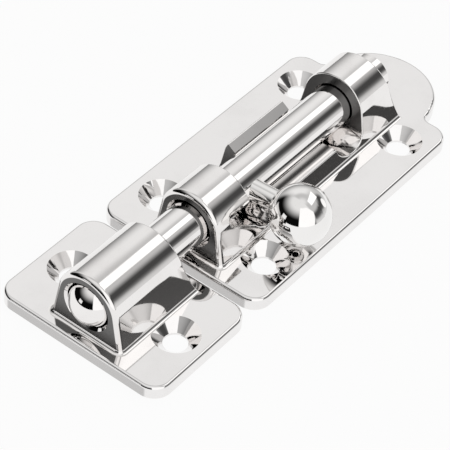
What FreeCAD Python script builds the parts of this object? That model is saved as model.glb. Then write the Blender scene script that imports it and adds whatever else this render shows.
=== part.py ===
import FreeCAD, Part
import math
import os

V = FreeCAD.Vector

# Surface slide bolt with a round rod, a ball knob and a separate keep. All sizes are in millimetres.
# The rod lies along Y and its plain end points to -Y. X is zero on the rod's axis, z is zero under
# the plates, and Y is zero midway between the two rows of screw holes in the bolt plate.

# Plates
plate_width = 50.0
plate_thickness = 3.5
plate_corner_radius = 5.0
plate_edge_radius = 0.9
bolt_plate_length = 100.0
shoulder_length = 83.3
nose_inset = 8.9
nose_fillet = 2.0
strike_plate_length = 35.0
plate_gap = 2.5

# Screw holes in the plates
hole_row_spacing = 57.7
hole_row_setback = 14.2
hole_inset = 8.8
hole_radius = 3.1
countersink_radius = 6.0

# Rod, stem and ball
rod_radius = 5.7
rod_length = 117.2
rod_setback = 0.8
rod_dome = 3.6
rod_tail_bevel = 0.5
rod_axis_height = 8.5
stem_radius = 3.0
stem_setback = 60.1
stem_root = 3.2
stem_depth_in_ball = 4.5
knob_tilt = 3.5
ball_radius = 7.9
ball_reach = 19.15
seat_clearance = 0.02

# Barrel and keep, which share one arched section
arch_radius = 9.1
arch_half_base = 10.8
arch_front_radius = 1.3
arch_foot_radius = 1.2
arch_edge_radius = 0.35
bore_clearance = 0.4
mouth_bevel = 0.6
housing_setback = 3.75
front_guide_length = 13.05
front_gap_length = 12.3
cradle_length = 22.3
rear_gap_length = 11.8
rear_guide_length = 11.3
keep_length = 23.05
tail_flare = 5.2
tail_flare_bulge = 1.7

# Gaps between the guides and the cradle, and the notch that holds the knob forward
gap_floor = 1.0
gap_front_radius = 7.4
gap_rear_radius = 4.0
notch_top = 12.1
notch_top_length = 5.5
notch_reach = 8.0
notch_tip_drop = 1.1
notch_heel_drop = 3.08
notch_heel_inset = 1.1
notch_foot = 2.6
cradle_height = 12.5
cradle_rim_slope = 34.0
rim_clearance = 0.3

# Drag ring, a split ring in a groove of the rod
ring_width = 2.0
ring_depth = 0.65
ring_split = 1.5
ring_clearance = 0.05
ring_setback = 4.8

# Screws that hold the barrel and the keep from under the plates
body_screw_radius = 1.25
body_screw_head_radius = 2.35
body_screw_spread = 15.0
body_screw_rise = 6.0
body_screw_setback = 3.6
body_screw_recess = 0.9
body_screw_recess_width = 0.7
thread_clearance = 0.03

# Places that follow from the sizes
bore_radius = rod_radius + bore_clearance
axis_z = plate_thickness + rod_axis_height
crown_z = axis_z + arch_radius
bolt_plate_front = -hole_row_spacing / 2 - hole_row_setback
strike_plate_rear = bolt_plate_front - plate_gap
strike_plate_front = strike_plate_rear - strike_plate_length
nose_radius = plate_width / 2 - nose_inset
nose_centre_y = bolt_plate_front + bolt_plate_length - nose_radius
barrel_front = bolt_plate_front + housing_setback
front_gap_start = barrel_front + front_guide_length
cradle_start = front_gap_start + front_gap_length
rear_gap_start = cradle_start + cradle_length
rear_guide_start = rear_gap_start + rear_gap_length
barrel_rear = rear_guide_start + rear_guide_length
keep_front = strike_plate_front + housing_setback
keep_rear = keep_front + keep_length
rod_front = strike_plate_front + rod_setback
stem_y = rod_front + stem_setback
ring_y = rear_guide_start + ring_setback
half_spread = plate_width / 2 - hole_inset

# How far a cut runs past what it cuts, and how near two places are to be the same one
past = 5.0
same = 1e-3


def save(shape, node):
    solid = shape.removeSplitter()
    if len(solid.Solids) != 1 or not solid.isValid():
        raise ValueError(node + " is not one valid solid")
    solid.Solids[0].exportStep("parts/" + node + ".step")
    print(node, round(solid.Volume, 1))


def arc(centre, radius, start, end, normal=V(0, 0, 1)):
    # Arc of a circle, with its angles in degrees
    circle = Part.Circle(centre, normal, radius)
    return Part.Arc(circle, math.radians(start), math.radians(end)).toShape()


def prism(edges, direction):
    return Part.Face(Part.Wire(Part.__sortEdges__(edges))).extrude(direction)


def edges_where(shape, test):
    # Edges whose points, middles included, all pass the test
    found = []
    for edge in shape.Edges:
        points = edge.discretize(5)
        if all(test(point) for point in points):
            found.append(edge)
    return found


def cylinder_y(radius, start, end):
    return Part.makeCylinder(radius, end - start, V(0, start, axis_z), V(0, 1, 0))


def round_top(plate):
    top = edges_where(plate, lambda p: abs(p.z - plate_thickness) < same)
    return plate.makeFillet(plate_edge_radius, top)


def countersunk_hole(x, y):
    # Straight hole with a 90 degree countersink from the top
    depth = countersink_radius - hole_radius
    hole = Part.makeCylinder(hole_radius, plate_thickness + 2 * past, V(x, y, -past))
    cone = Part.makeCone(hole_radius, countersink_radius + past, depth + past,
                         V(x, y, plate_thickness - depth))
    return hole.fuse(cone)


def body_screw_places(front, rear):
    # Screws stand in pairs, one in each leg of the arch
    half = body_screw_spread / 2
    return [V(side * half, y, 0) for y in (front, rear) for side in (-1, 1)]


barrel_screw_places = body_screw_places(barrel_front + body_screw_setback, rear_guide_start + body_screw_setback)
keep_screw_places = body_screw_places(keep_front + keep_length / 2, keep_rear)[:2]


def body_screw(place, clearance):
    # Countersunk head at the plate's underside and a plain shank; a clearance above zero makes its hole
    head_depth = body_screw_head_radius - body_screw_radius
    radius = body_screw_radius + clearance
    shank = Part.makeCylinder(radius, plate_thickness + body_screw_rise + clearance, place)
    head = Part.makeCone(body_screw_head_radius + clearance, radius, head_depth, place)
    return shank.fuse(head)


def make_body_screw(place):
    screw = body_screw(place, 0)
    for angle in (0, 90):
        slot = Part.makeBox(2 * body_screw_radius, body_screw_recess_width, body_screw_recess,
                            place - V(body_screw_radius, body_screw_recess_width / 2, 0))
        screw = screw.cut(slot.rotate(place, V(0, 0, 1), angle))
    return screw


def cut_screws(shape, places):
    for place in places:
        shape = shape.cut(body_screw(place, thread_clearance))
    return shape


def make_strike_plate():
    half = plate_width / 2
    plate = Part.makeBox(plate_width, strike_plate_length, plate_thickness, V(-half, strike_plate_front, 0))
    corners = [edge for edge in plate.Edges if abs(edge.tangentAt(edge.FirstParameter).z) > 0.9]
    plate = round_top(plate.makeFillet(plate_corner_radius, corners))
    for side in (-1, 1):
        plate = plate.cut(countersunk_hole(side * half_spread, strike_plate_front + strike_plate_length / 2))
    return cut_screws(plate, keep_screw_places)


def bolt_plate_outline():
    # Right half of the outline from the front edge to the nose's tip, then its mirror image
    half = plate_width / 2
    corner = plate_corner_radius
    front = bolt_plate_front
    shoulder = front + shoulder_length
    fillet_y = shoulder + nose_fillet
    fillet_x = math.sqrt((nose_radius + nose_fillet) ** 2 - (fillet_y - nose_centre_y) ** 2)
    meet = math.degrees(math.atan2(fillet_y - nose_centre_y, fillet_x))
    right = [
        Part.makeLine(V(0, front, 0), V(half - corner, front, 0)),
        arc(V(half - corner, front + corner, 0), corner, -90, 0),
        Part.makeLine(V(half, front + corner, 0), V(half, shoulder - corner, 0)),
        arc(V(half - corner, shoulder - corner, 0), corner, 0, 90),
        Part.makeLine(V(half - corner, shoulder, 0), V(fillet_x, shoulder, 0)),
        arc(V(fillet_x, fillet_y, 0), nose_fillet, 180 + meet, 270),
        arc(V(0, nose_centre_y, 0), nose_radius, meet, 90),
    ]
    left = [edge.mirror(V(0, 0, 0), V(1, 0, 0)) for edge in right]
    return right + left


def make_bolt_plate():
    plate = round_top(prism(bolt_plate_outline(), V(0, 0, plate_thickness)))
    for side in (-1, 1):
        for row in (-0.5, 0.5):
            plate = plate.cut(countersunk_hole(side * half_spread, row * hole_row_spacing))
    return cut_screws(plate, barrel_screw_places)


def leg_slope():
    # Angle above level at which a straight leg meets the round crown
    distance = math.hypot(arch_half_base, rod_axis_height)
    return math.atan2(-rod_axis_height, arch_half_base) + math.acos(arch_radius / distance)


def on_arch(point):
    # Whether a point lies on the crown or on one of the legs
    slope = leg_slope()
    x = abs(point.x)
    z = point.z - axis_z
    if math.atan2(z, x) >= slope:
        return abs(math.hypot(x, z) - arch_radius) < same
    return abs(x * math.cos(slope) + z * math.sin(slope) - arch_radius) < same


def arch_section(y):
    # Round crown on two straight legs that meet it at a tangent
    slope = leg_slope()
    meet = V(arch_radius * math.cos(slope), y, axis_z + arch_radius * math.sin(slope))
    meet_left = V(-meet.x, y, meet.z)
    right = V(arch_half_base, y, plate_thickness)
    left = V(-arch_half_base, y, plate_thickness)
    crown = Part.Arc(meet, V(0, y, crown_z), meet_left).toShape()
    return [Part.makeLine(left, right), Part.makeLine(right, meet), crown, Part.makeLine(meet_left, left)]


def flare_cut(y):
    # Clears what lies behind the curved rear face, which leans out to the base
    top = V(0, y, crown_z)
    foot = V(0, y + tail_flare, plate_thickness)
    half_height = (crown_z + plate_thickness) / 2
    bulge = V(0, y + tail_flare_bulge, half_height)
    edges = [
        Part.Arc(top, bulge, foot).toShape(),
        Part.makeLine(foot, V(0, y + tail_flare + past, plate_thickness)),
        Part.makeLine(V(0, y + tail_flare + past, plate_thickness), V(0, y + tail_flare + past, crown_z + past)),
        Part.makeLine(V(0, y + tail_flare + past, crown_z + past), V(0, y, crown_z + past)),
        Part.makeLine(V(0, y, crown_z + past), top),
    ]
    cut = prism(edges, V(plate_width, 0, 0))
    cut.translate(V(-plate_width / 2, 0, 0))
    return cut


def mouth(y, direction):
    # Cone that bevels a bore's mouth; direction is 1 for a mouth that opens to +Y
    inner = bore_radius - past
    base = V(0, y - direction * (mouth_bevel + past), axis_z)
    return Part.makeCone(inner, bore_radius + mouth_bevel + past, mouth_bevel + 2 * past, base,
                         V(0, direction, 0))


def round_foot(body, front, end):
    # The fillet round the foot is made against a slab in the plate's place, which is then taken away
    slab = Part.makeBox(plate_width, end + past - front, plate_thickness, V(-plate_width / 2, front - past, 0))
    both = body.fuse(slab)
    foot = edges_where(both, lambda p: abs(p.z - plate_thickness) < same and abs(p.x) < arch_half_base + same)
    foot = [edge for edge in foot if edge.CenterOfMass.y < end - same]
    return both.makeFillet(arch_foot_radius, foot).cut(slab)


def soften(body):
    # Small fillet on every sharp edge of the arch's outside
    outside = edges_where(body, on_arch)
    return body.makeFillet(arch_edge_radius, [edge for edge in outside if is_sharp(body, edge)])


def is_sharp(body, edge):
    point = edge.valueAt((edge.FirstParameter + edge.LastParameter) / 2)
    normals = []
    for face in body.ancestorsOfType(edge, Part.Face):
        normals.append(face.normalAt(*face.Surface.parameter(point)))
    return len(normals) == 2 and math.degrees(normals[0].getAngle(normals[1])) > 20


def make_arch(front, rear):
    # Solid arch with a rounded front edge, a fillet round its foot, a flared rear face and the rod's bore
    end = rear + tail_flare + past
    body = prism(arch_section(front), V(0, end - front, 0))
    rim = edges_where(body, lambda p: abs(p.y - front) < same)
    rim = [edge for edge in rim if edge.CenterOfMass.z > plate_thickness + same]
    body = round_foot(body.makeFillet(arch_front_radius, rim), front, end)
    body = body.cut(flare_cut(rear))
    body = body.cut(cylinder_y(bore_radius, front - past, rear + tail_flare + past))
    return body.cut(mouth(front, -1)).cut(mouth(rear, 1))


def gap_cut(start, length):
    # U shape seen from the side, with a wide round at the front and a small one at the rear
    floor = plate_thickness + gap_floor
    end = start + length
    top = crown_z + past
    front_centre = V(0, start + gap_front_radius, floor + gap_front_radius)
    rear_centre = V(0, end - gap_rear_radius, floor + gap_rear_radius)
    side = math.sqrt(0.5)
    edges = [
        Part.makeLine(V(0, start, top), V(0, start, front_centre.z)),
        Part.Arc(V(0, start, front_centre.z),
                 front_centre - V(0, gap_front_radius * side, gap_front_radius * side),
                 V(0, front_centre.y, floor)).toShape(),
        Part.makeLine(V(0, front_centre.y, floor), V(0, rear_centre.y, floor)),
        Part.Arc(V(0, rear_centre.y, floor),
                 rear_centre + V(0, gap_rear_radius * side, -gap_rear_radius * side),
                 V(0, end, rear_centre.z)).toShape(),
        Part.makeLine(V(0, end, rear_centre.z), V(0, end, top)),
        Part.makeLine(V(0, end, top), V(0, start, top)),
    ]
    cut = prism(edges, V(plate_width, 0, 0))
    cut.translate(V(-plate_width / 2, 0, 0))
    return cut


def cradle_cut():
    # Opens the cradle's top: a high sloped rim on the far side, a low one under the stem on the knob side
    start = front_gap_start + gap_front_radius
    length = V(0, rear_gap_start + gap_front_radius - start, 0)
    reach = plate_width / 2
    top = crown_z + past
    rise = cradle_height - rod_axis_height
    rim_x = math.sqrt(arch_radius ** 2 - rise ** 2)
    slope = math.tan(math.radians(cradle_rim_slope))
    far_middle = axis_z + rise - rim_x * slope
    lift = math.tan(math.radians(knob_tilt))
    near_middle = axis_z - (stem_radius + rim_clearance) / math.cos(math.radians(knob_tilt))
    far = Part.makePolygon([V(0, start, far_middle), V(-reach, start, far_middle + reach * slope),
                            V(-reach, start, top + reach), V(0, start, top + reach), V(0, start, far_middle)])
    near = Part.makePolygon([V(0, start, near_middle), V(reach, start, near_middle + reach * lift),
                             V(reach, start, top + reach), V(0, start, top + reach), V(0, start, near_middle)])
    return Part.Face(far).extrude(length).fuse(Part.Face(near).extrude(length))


def notch_cut():
    # Hook-shaped notch in the front guide's knob-side wall, with a lower edge that slopes down to the gap
    y = front_gap_start
    z = plate_thickness
    top_end = V(0, y - notch_top_length, z + notch_top)
    tip = V(0, y - notch_reach, z + notch_top - notch_tip_drop)
    heel = V(0, y - notch_reach + notch_heel_inset, z + notch_top - notch_heel_drop)
    foot = V(0, y + gap_front_radius / 2, z + notch_foot)
    edges = [
        Part.makeLine(V(0, y + gap_front_radius, z + notch_top), top_end),
        Part.Arc(top_end, tip, heel).toShape(),
        Part.makeLine(heel, foot),
        Part.makeLine(foot, V(0, y + gap_front_radius, foot.z)),
        Part.makeLine(V(0, y + gap_front_radius, foot.z), V(0, y + gap_front_radius, z + notch_top)),
    ]
    return prism(edges, V(plate_width / 2, 0, 0))


def make_barrel():
    body = make_arch(barrel_front, barrel_rear)
    body = body.cut(cradle_cut())
    body = body.cut(gap_cut(front_gap_start, front_gap_length))
    body = body.cut(gap_cut(rear_gap_start, rear_gap_length))
    body = soften(body.cut(notch_cut()))
    return cut_screws(body, barrel_screw_places)


def make_keep():
    return cut_screws(soften(make_arch(keep_front, keep_rear)), keep_screw_places)


def tilt(shape):
    # Turns what is drawn level along +X up to the knob's angle at rest
    return shape.rotate(V(0, 0, axis_z), V(0, -1, 0), knob_tilt)


def stem_solid(radius, start, end):
    return tilt(Part.makeCylinder(radius, end - start, V(start, stem_y, axis_z), V(1, 0, 0)))


def make_rod():
    dome_start = rod_front + rod_dome
    dome_radius = (rod_radius ** 2 + rod_dome ** 2) / (2 * rod_dome)
    rod = cylinder_y(rod_radius, rod_front, rod_front + rod_length)
    dome = Part.makeSphere(dome_radius, V(0, rod_front + dome_radius, axis_z))
    front = rod.common(dome).common(cylinder_y(2 * rod_radius, rod_front - past, dome_start))
    rod = front.fuse(cylinder_y(rod_radius, dome_start, rod_front + rod_length))
    tail = edges_where(rod, lambda p: abs(p.y - rod_front - rod_length) < same)
    rod = rod.makeChamfer(rod_tail_bevel, tail)
    rod = rod.cut(stem_solid(stem_radius + seat_clearance, -stem_root, 2 * rod_radius))
    half = ring_width / 2 + ring_clearance
    groove = cylinder_y(2 * rod_radius, ring_y - half, ring_y + half)
    return rod.cut(groove.cut(cylinder_y(rod_radius - ring_depth, ring_y - past, ring_y + past)))


def make_stem():
    return stem_solid(stem_radius, -stem_root, ball_reach - ball_radius + stem_depth_in_ball)


def make_ball():
    ball = tilt(Part.makeSphere(ball_radius, V(ball_reach, stem_y, axis_z)))
    return ball.cut(stem_solid(stem_radius + seat_clearance, 0, ball_reach - ball_radius + stem_depth_in_ball))


def make_drag_ring():
    inner = rod_radius - ring_depth + ring_clearance
    outer = bore_radius - ring_clearance
    half = ring_width / 2
    ring = cylinder_y(outer, ring_y - half, ring_y + half).cut(cylinder_y(inner, ring_y - past, ring_y + past))
    split = Part.makeBox(ring_split, 2 * past, 2 * outer, V(-ring_split / 2, ring_y - past, axis_z - 2 * outer))
    return ring.cut(split)


os.makedirs("parts", exist_ok=True)
save(make_strike_plate(), "strike_plate")
save(make_bolt_plate(), "bolt_plate")
save(make_keep(), "keep")
save(make_barrel(), "barrel")
save(make_rod(), "bolt_rod")
save(make_stem(), "knob_stem")
save(make_ball(), "knob_ball")
save(make_drag_ring(), "drag_ring")
for number, place in enumerate(barrel_screw_places, 1):
    save(make_body_screw(place), "barrel_screw_" + str(number))
for number, place in enumerate(keep_screw_places, 1):
    save(make_body_screw(place), "keep_screw_" + str(number))
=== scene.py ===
import math

import bpy
from mathutils import Matrix, Vector

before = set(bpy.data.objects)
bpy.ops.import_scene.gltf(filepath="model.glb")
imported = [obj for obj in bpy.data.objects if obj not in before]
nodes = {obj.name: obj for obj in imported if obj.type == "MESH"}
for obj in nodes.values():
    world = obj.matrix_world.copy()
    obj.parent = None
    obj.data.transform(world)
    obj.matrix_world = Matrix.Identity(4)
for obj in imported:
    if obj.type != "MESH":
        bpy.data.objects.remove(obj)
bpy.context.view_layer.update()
print("frame loaded:", len(nodes), "nodes")


# Camera, in metres and degrees: azimuth 0 looks along +Y, elevation is above the horizon
camera = {
    "azimuth": 34.52,
    "elevation": 44.13,
    "roll": 5.37,
    "lens": 167.8,
    "place": (0.212825, -0.333017, 0.364317),
}


def makeCamera(spec):
    azimuth = math.radians(spec["azimuth"])
    elevation = math.radians(spec["elevation"])
    roll = math.radians(spec["roll"])
    back = Vector((math.sin(azimuth) * math.cos(elevation),
                   -math.cos(azimuth) * math.cos(elevation),
                   math.sin(elevation)))
    level = Vector((math.cos(azimuth), math.sin(azimuth), 0))
    upright = back.cross(level)
    right = level * math.cos(roll) + upright * math.sin(roll)
    up = upright * math.cos(roll) - level * math.sin(roll)
    data = bpy.data.cameras.new("camera")
    data.lens = spec["lens"]
    data.sensor_width = 36
    data.clip_start = 0.01
    cam = bpy.data.objects.new("camera", data)
    turn = Matrix((right, up, back)).transposed().to_4x4()
    cam.matrix_world = Matrix.Translation(Vector(spec["place"])) @ turn
    bpy.context.scene.collection.objects.link(cam)
    bpy.context.scene.camera = cam


# Small helpers for node trees
def addNode(tree, kind, **settings):
    node = tree.nodes.new(kind)
    for name, value in settings.items():
        setattr(node, name, value)
    return node


def plug(tree, value, socket):
    # A socket is linked, a plain value is set
    if isinstance(value, bpy.types.NodeSocket):
        tree.links.new(value, socket)
    else:
        socket.default_value = value


def maths(tree, operation, first, second=0.0):
    node = addNode(tree, "ShaderNodeMath", operation=operation)
    plug(tree, first, node.inputs[0])
    plug(tree, second, node.inputs[1])
    return node.outputs[0]


def product(tree, first, *others):
    for other in others:
        first = maths(tree, "MULTIPLY", first, other)
    return first


def distance(tree, value, middle):
    return maths(tree, "ABSOLUTE", maths(tree, "SUBTRACT", value, middle))


def softStep(tree, value, low, high, outLow=0.0, outHigh=1.0):
    node = addNode(tree, "ShaderNodeMapRange", interpolation_type="SMOOTHSTEP")
    for name, setting in (("Value", value), ("From Min", low), ("From Max", high),
                          ("To Min", outLow), ("To Max", outHigh)):
        plug(tree, setting, node.inputs[name])
    return node.outputs["Result"]


def blendValue(tree, amount, first, second):
    node = addNode(tree, "ShaderNodeMix", data_type="FLOAT")
    plug(tree, amount, node.inputs[0])
    plug(tree, first, node.inputs[2])
    plug(tree, second, node.inputs[3])
    return node.outputs[0]


def dotWith(tree, vector, fixed):
    node = addNode(tree, "ShaderNodeVectorMath", operation="DOT_PRODUCT")
    plug(tree, vector, node.inputs[0])
    node.inputs[1].default_value = fixed
    return node.outputs["Value"]


# Studio round the bolt. Angles are in degrees: azimuth 0 is +Y and 90 is +X.
# A soft edge is a pair: where the light starts to come in, and where it is full
studio = {
    "tint": (1.0, 0.996, 0.992, 1.0),
    "sky": 0.88,            # overhead, fading to black towards the front left
    "skyEdge": (22.0, 62.0),
    "black": 0.003,
    "behind": 0.60,         # wall behind, above the left panel and round the strip
    "behindLeft": (-92.0, -70.0),
    "behindRight": (96.0, 84.0),
    "behindTop": (86.0, 66.0),
    "leftPanel": 0.92,      # soft panel at the back left, darker towards the floor
    "leftPanelPlace": (-44.0, 37.0),
    "leftPanelFoot": 0.13,
    "leftPanelFootPlace": -12.0,
    "leftPanelSides": (44.0, 14.0),
    "leftPanelTop": (62.0, 46.0),
    "gap": 0.065,           # dark band under the strip light
    "gapPlace": 27.0,
    "gapEdge": (18.0, 3.0),
    "gapLeft": (-6.0, 12.0),
    "gapRight": (90.0, 82.0),
    "low": 0.74,            # light again below the dark band
    "lowEdge": (26.0, 2.0),
    "lowTop": (30.0, 14.0),
    "strip": 1.30,          # long light overhead, between an upper and a lower plane
    "stripTop": (0.845, 0.217, -0.489),
    "stripTopEdge": (0.075, 0.035),
    "stripFoot": (0.892, 0.369, -0.262),
    "stripFootEdge": (-0.03, 0.01),
    "stripNear": (0.20, 0.30),
    "stripFar": (0.86, 0.80),
    "rightPanel": 1.15,     # white panel, between planes at its back, front and lower back edges
    "rightPanelBack": (0.077, 0.965, -0.251),
    "rightPanelBackEdge": (0.02, -0.02),
    "rightPanelFront": (0.343, -0.904, -0.255),
    "rightPanelFrontEdge": (-0.03, 0.03),
    "rightPanelSide": (0.858, 0.511, 0.058),
    "rightPanelSideEdge": (-0.015, 0.015),
    "rightPanelTop": (70.0, 64.0),
    "lamp": 1.10,           # round lamp low behind
    "lampPlace": (22.0, 12.0),
    "lampEdge": (0.980, 0.986),
    "window": 0.95,         # small square window in the black front
    "windowPlace": (-152.0, 12.0),
    "windowSides": (9.5, 7.5),
    "windowEnds": (7.5, 5.5),
}


def makeStudio(spec):
    world = bpy.data.worlds.new("studio")
    bpy.context.scene.world = world
    world.use_nodes = True
    tree = world.node_tree
    tree.nodes.clear()
    direction = addNode(tree, "ShaderNodeTexCoord").outputs["Generated"]
    parts = addNode(tree, "ShaderNodeSeparateXYZ")
    plug(tree, direction, parts.inputs[0])
    x, y, z = parts.outputs
    azimuth = maths(tree, "MULTIPLY", maths(tree, "ARCTAN2", x, y), 180 / math.pi)
    elevation = maths(tree, "MULTIPLY", maths(tree, "ARCSINE", z), 180 / math.pi)

    light = softStep(tree, elevation, *spec["skyEdge"], spec["black"], spec["sky"])

    # Wall behind, from the far left round to the white panel
    behind = product(tree, softStep(tree, azimuth, *spec["behindLeft"]),
                     softStep(tree, azimuth, *spec["behindRight"]),
                     softStep(tree, elevation, *spec["behindTop"]))
    light = blendValue(tree, behind, light, spec["behind"])

    # Soft panel at the back left
    panelAzimuth, panelElevation = spec["leftPanelPlace"]
    aside = distance(tree, azimuth, panelAzimuth)
    glow = softStep(tree, elevation, spec["leftPanelFootPlace"], panelElevation,
                    spec["leftPanelFoot"], spec["leftPanel"])
    panel = product(tree, softStep(tree, aside, *spec["leftPanelSides"]),
                    softStep(tree, elevation, *spec["leftPanelTop"]))
    light = blendValue(tree, panel, light, glow)

    # Dark band under the strip, light again towards the horizon
    band = softStep(tree, distance(tree, elevation, spec["gapPlace"]), *spec["gapEdge"])
    across = product(tree, softStep(tree, azimuth, *spec["gapLeft"]),
                     softStep(tree, azimuth, *spec["gapRight"]))
    low = softStep(tree, elevation, *spec["lowEdge"], spec["gap"], spec["low"])
    light = blendValue(tree, product(tree, across, softStep(tree, elevation, *spec["lowTop"])), light, low)
    light = blendValue(tree, product(tree, across, band), light, spec["gap"])

    # Strip light, between two planes through the bolt
    strip = product(tree, softStep(tree, dotWith(tree, direction, spec["stripTop"]), *spec["stripTopEdge"]),
                    softStep(tree, dotWith(tree, direction, spec["stripFoot"]), *spec["stripFootEdge"]),
                    softStep(tree, y, *spec["stripNear"]), softStep(tree, y, *spec["stripFar"]))
    light = blendValue(tree, strip, light, spec["strip"])

    # White panel at the right, also between planes
    white = softStep(tree, elevation, *spec["rightPanelTop"])
    for plane in ("rightPanelBack", "rightPanelFront", "rightPanelSide"):
        reach = dotWith(tree, direction, spec[plane])
        white = product(tree, white, softStep(tree, reach, *spec[plane + "Edge"]))
    light = blendValue(tree, white, light, spec["rightPanel"])

    # Round lamp and small window
    lampAzimuth, lampElevation = (math.radians(angle) for angle in spec["lampPlace"])
    toLamp = dotWith(tree, direction, (math.sin(lampAzimuth) * math.cos(lampElevation),
                                       math.cos(lampAzimuth) * math.cos(lampElevation),
                                       math.sin(lampElevation)))
    light = blendValue(tree, softStep(tree, toLamp, *spec["lampEdge"]), light, spec["lamp"])
    windowAzimuth, windowElevation = spec["windowPlace"]
    window = product(tree, softStep(tree, distance(tree, azimuth, windowAzimuth), *spec["windowSides"]),
                     softStep(tree, distance(tree, elevation, windowElevation), *spec["windowEnds"]))
    light = blendValue(tree, window, light, spec["window"])

    background = addNode(tree, "ShaderNodeBackground")
    background.inputs["Color"].default_value = spec["tint"]
    plug(tree, light, background.inputs["Strength"])
    output = addNode(tree, "ShaderNodeOutputWorld")
    plug(tree, background.outputs[0], output.inputs["Surface"])


# Pale floor, white to the camera and in the polished metal alike, with a faint shadow of the bolt
floorSpec = {
    "reach": 1.5,
    "colour": (0.90, 0.90, 0.90, 1.0),
    "white": 1.0,
    "whiteShare": 0.93,
}


def makeFloor(spec):
    reach = spec["reach"]
    mesh = bpy.data.meshes.new("floor")
    mesh.from_pydata([(-reach, -reach, 0), (reach, -reach, 0), (reach, reach, 0), (-reach, reach, 0)],
                     [], [(0, 1, 2, 3)])
    floor = bpy.data.objects.new("floor", mesh)
    bpy.context.scene.collection.objects.link(floor)
    material = bpy.data.materials.new("paleFloor")
    material.use_nodes = True
    tree = material.node_tree
    tree.nodes.clear()
    matt = addNode(tree, "ShaderNodeBsdfDiffuse")
    matt.inputs["Color"].default_value = spec["colour"]
    ray = addNode(tree, "ShaderNodeLightPath")
    glow = addNode(tree, "ShaderNodeEmission")
    glow.inputs["Strength"].default_value = spec["white"]
    seen = maths(tree, "MAXIMUM", ray.outputs["Is Camera Ray"], ray.outputs["Is Glossy Ray"])
    seen = maths(tree, "MAXIMUM", seen, ray.outputs["Is Transmission Ray"])
    mix = addNode(tree, "ShaderNodeMixShader")
    plug(tree, maths(tree, "MULTIPLY", seen, spec["whiteShare"]), mix.inputs[0])
    plug(tree, matt.outputs[0], mix.inputs[1])
    plug(tree, glow.outputs[0], mix.inputs[2])
    output = addNode(tree, "ShaderNodeOutputMaterial")
    plug(tree, mix.outputs[0], output.inputs["Surface"])
    mesh.materials.append(material)


# Shared shader node groups
def newGroup(name, inputs, outputs):
    group = bpy.data.node_groups.new(name, "ShaderNodeTree")
    for label, value in inputs.items():
        kind = "NodeSocketVector" if isinstance(value, tuple) else "NodeSocketFloat"
        group.interface.new_socket(label, in_out="INPUT", socket_type=kind).default_value = value
    for label in outputs:
        group.interface.new_socket(label, in_out="OUTPUT", socket_type="NodeSocketFloat")
    return group, addNode(group, "NodeGroupInput"), addNode(group, "NodeGroupOutput")


def noise(tree, vector, scale, detail=4.0, roughness=0.6):
    node = addNode(tree, "ShaderNodeTexNoise")
    plug(tree, vector, node.inputs["Vector"])
    plug(tree, scale, node.inputs["Scale"])
    plug(tree, detail, node.inputs["Detail"])
    plug(tree, roughness, node.inputs["Roughness"])
    return node.outputs["Fac"]


# Where the noise turns into buffing lines and film, and how much of each is in the height
marksSpec = {
    "lineEdge": (0.50, 0.78),
    "lineDetail": 6.0,
    "lineRoughness": 0.7,
    "cloudEdge": (0.42, 0.70),
    "heightShare": 0.5,
}


def makePolishGroup(spec):
    # Fine buffing lines, drawn out along one axis, and a cloudy film left by handling
    inputs = {"Stretch": (1.0, 1.0, 1.0), "Lines": 900.0, "Clouds": 60.0}
    group, given, made = newGroup("polishMarks", inputs, ("Lines", "Clouds", "Height"))
    spot = addNode(group, "ShaderNodeTexCoord").outputs["Object"]
    drawn = addNode(group, "ShaderNodeVectorMath", operation="MULTIPLY")
    plug(group, spot, drawn.inputs[0])
    plug(group, given.outputs["Stretch"], drawn.inputs[1])
    lines = noise(group, drawn.outputs[0], given.outputs["Lines"], spec["lineDetail"], spec["lineRoughness"])
    clouds = noise(group, spot, given.outputs["Clouds"])
    plug(group, softStep(group, lines, *spec["lineEdge"]), made.inputs["Lines"])
    plug(group, softStep(group, clouds, *spec["cloudEdge"]), made.inputs["Clouds"])
    height = maths(group, "ADD", product(group, lines, spec["heightShare"]),
                   product(group, clouds, spec["heightShare"]))
    plug(group, height, made.inputs["Height"])
    return group


# How far the bevelled normal has to turn, and where the noise breaks the worn edge up
wearSpec = {
    "turn": (0.995, 0.93),
    "breakEdge": (0.35, 0.60),
}


def makeEdgeGroup(spec):
    # Mask of the worn edges: where a bevelled normal turns away from the face's own
    group, given, made = newGroup("edgeWear", {"Width": 0.0004, "Breakup": 700.0}, ("Mask",))
    bevel = addNode(group, "ShaderNodeBevel", samples=4)
    plug(group, given.outputs["Width"], bevel.inputs["Radius"])
    turned = addNode(group, "ShaderNodeVectorMath", operation="DOT_PRODUCT")
    plug(group, bevel.outputs[0], turned.inputs[0])
    plug(group, addNode(group, "ShaderNodeNewGeometry").outputs["Normal"], turned.inputs[1])
    spot = addNode(group, "ShaderNodeTexCoord").outputs["Object"]
    broken = softStep(group, noise(group, spot, given.outputs["Breakup"]), *spec["breakEdge"])
    edge = softStep(group, turned.outputs["Value"], *spec["turn"])
    plug(group, product(group, edge, broken), made.inputs["Mask"])
    return group


def placeGroup(tree, group, values):
    node = addNode(tree, "ShaderNodeGroup", node_tree=group)
    for label, value in values.items():
        node.inputs[label].default_value = value
    return node


def mixColour(tree, amount, first, second):
    node = addNode(tree, "ShaderNodeMix", data_type="RGBA")
    plug(tree, amount, node.inputs[0])
    plug(tree, first, node.inputs[6])
    plug(tree, second, node.inputs[7])
    return node.outputs[2]


# Which way a face has to look to be painted darker (painted shade for the dark reflection in front) and made
# rougher, and how closely
frontShadeFacing = {
    "way": (0, -1, 0),
    "edge": (0.96, 0.99),
}


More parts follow.
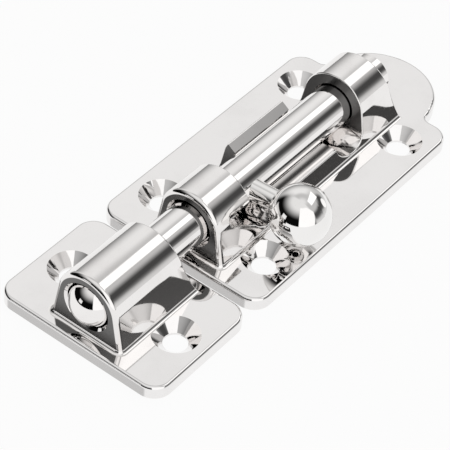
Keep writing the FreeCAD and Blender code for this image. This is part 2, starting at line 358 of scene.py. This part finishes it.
def polishedMetal(name, spec, polish, edges):
    material = bpy.data.materials.new(name)
    material.use_nodes = True
    tree = material.node_tree
    tree.nodes.clear()
    scales = {"Stretch": spec["stretch"], "Lines": spec["lines"], "Clouds": spec["clouds"]}
    marks = placeGroup(tree, polish, scales)
    worn = placeGroup(tree, edges, {"Width": spec["edgeWidth"]}).outputs["Mask"]
    shader = addNode(tree, "ShaderNodeBsdfPrincipled")
    shader.inputs["Metallic"].default_value = 1.0
    colour = mixColour(tree, marks.outputs["Clouds"], spec["colour"], spec["film"])
    colour = mixColour(tree, worn, colour, spec["edgeColour"])
    rough = blendValue(tree, marks.outputs["Lines"], spec["smooth"], spec["lined"])
    rough = maths(tree, "ADD", rough, product(tree, marks.outputs["Clouds"], spec["filmRoughness"]))
    if "frontShadeColour" in spec:
        # The faces that look forwards are painted darker, a painted shade for the dark reflection in front,
        # and are made rougher
        normal = addNode(tree, "ShaderNodeNewGeometry").outputs["Normal"]
        frontShade = softStep(tree, dotWith(tree, normal, frontShadeFacing["way"]), *frontShadeFacing["edge"])
        colour = mixColour(tree, frontShade, colour, spec["frontShadeColour"])
        rough = blendValue(tree, frontShade, rough, spec["frontFaceRoughness"])
    rough = maths(tree, "ADD", rough, product(tree, worn, spec["edgeRoughness"]))
    plug(tree, colour, shader.inputs["Base Color"])
    plug(tree, rough, shader.inputs["Roughness"])
    bump = addNode(tree, "ShaderNodeBump")
    bump.inputs["Strength"].default_value = spec["bump"]
    bump.inputs["Distance"].default_value = spec["bumpDepth"]
    plug(tree, marks.outputs["Height"], bump.inputs["Height"])
    plug(tree, bump.outputs[0], shader.inputs["Normal"])
    output = addNode(tree, "ShaderNodeOutputMaterial")
    plug(tree, shader.outputs[0], output.inputs["Surface"])
    return material


# Finishes: colours, roughness, and the scale of the marks in cycles per metre
plateFinish = {
    "colour": (0.865, 0.853, 0.847, 1.0), "film": (0.83, 0.818, 0.812, 1.0),
    "stretch": (1.0, 0.08, 1.0), "lines": 900.0, "clouds": 70.0,
    "smooth": 0.025, "lined": 0.075, "filmRoughness": 0.03,
    "edgeWidth": 0.0004, "edgeColour": (0.90, 0.88, 0.86, 1.0), "edgeRoughness": 0.03,
    "bump": 0.25, "bumpDepth": 0.0000012,
    # The darker colour of the forward-looking plate faces is painted shade; only the roughness is their own
    # finish
    "frontShadeColour": (0.56, 0.55, 0.545, 1.0), "frontFaceRoughness": 0.22,
}
housingFinish = {
    "colour": (0.86, 0.845, 0.835, 1.0), "film": (0.82, 0.80, 0.79, 1.0),
    "stretch": (1.0, 0.06, 1.0), "lines": 1100.0, "clouds": 90.0,
    "smooth": 0.05, "lined": 0.10, "filmRoughness": 0.03,
    "edgeWidth": 0.0003, "edgeColour": (0.90, 0.88, 0.86, 1.0), "edgeRoughness": 0.03,
    "bump": 0.35, "bumpDepth": 0.0000015,
    # The near-black colour of the forward-looking housing faces is painted shade; only the roughness is
    # their own finish
    "frontShadeColour": (0.15, 0.148, 0.146, 1.0), "frontFaceRoughness": 0.30,
}
rodFinish = {
    "colour": (0.88, 0.865, 0.855, 1.0), "film": (0.84, 0.82, 0.81, 1.0),
    "stretch": (1.0, 0.05, 1.0), "lines": 1200.0, "clouds": 80.0,
    "smooth": 0.03, "lined": 0.07, "filmRoughness": 0.02,
    "edgeWidth": 0.0003, "edgeColour": (0.90, 0.88, 0.86, 1.0), "edgeRoughness": 0.03,
    "bump": 0.3, "bumpDepth": 0.0000012,
}
knobFinish = {
    "colour": (0.88, 0.87, 0.86, 1.0), "film": (0.86, 0.85, 0.84, 1.0),
    "stretch": (1.0, 1.0, 1.0), "lines": 500.0, "clouds": 120.0,
    "smooth": 0.015, "lined": 0.04, "filmRoughness": 0.02,
    "edgeWidth": 0.0003, "edgeColour": (0.90, 0.88, 0.86, 1.0), "edgeRoughness": 0.02,
    "bump": 0.15, "bumpDepth": 0.0000008,
}
steelFinish = {
    "colour": (0.60, 0.58, 0.56, 1.0), "film": (0.48, 0.46, 0.44, 1.0),
    "stretch": (0.2, 0.2, 1.0), "lines": 2200.0, "clouds": 300.0,
    "smooth": 0.22, "lined": 0.38, "filmRoughness": 0.08,
    "edgeWidth": 0.0002, "edgeColour": (0.72, 0.70, 0.68, 1.0), "edgeRoughness": 0.0,
    "bump": 0.6, "bumpDepth": 0.000006,
}
finishes = {
    "platePolish": (plateFinish, ("bolt_plate", "strike_plate")),
    "housingPolish": (housingFinish, ("barrel", "keep")),
    "rodPolish": (rodFinish, ("bolt_rod",)),
    "knobPolish": (knobFinish, ("knob_stem", "knob_ball")),
    "springSteel": (steelFinish, ("drag_ring",)),
    "screwSteel": (steelFinish, [name for name in nodes if "screw" in name]),
}


def dress(node, material):
    mesh = nodes[node].data
    mesh.materials.clear()
    mesh.materials.append(material)


makeCamera(camera)
makeStudio(studio)
makeFloor(floorSpec)
print("studio and floor set")
polish = makePolishGroup(marksSpec)
edges = makeEdgeGroup(wearSpec)
for name, (finish, pieces) in finishes.items():
    material = polishedMetal(name, finish, polish, edges)
    for piece in pieces:
        dress(piece, material)
print("finishes set:", ", ".join(finishes))

bpy.context.scene.view_settings.view_transform = "Standard"
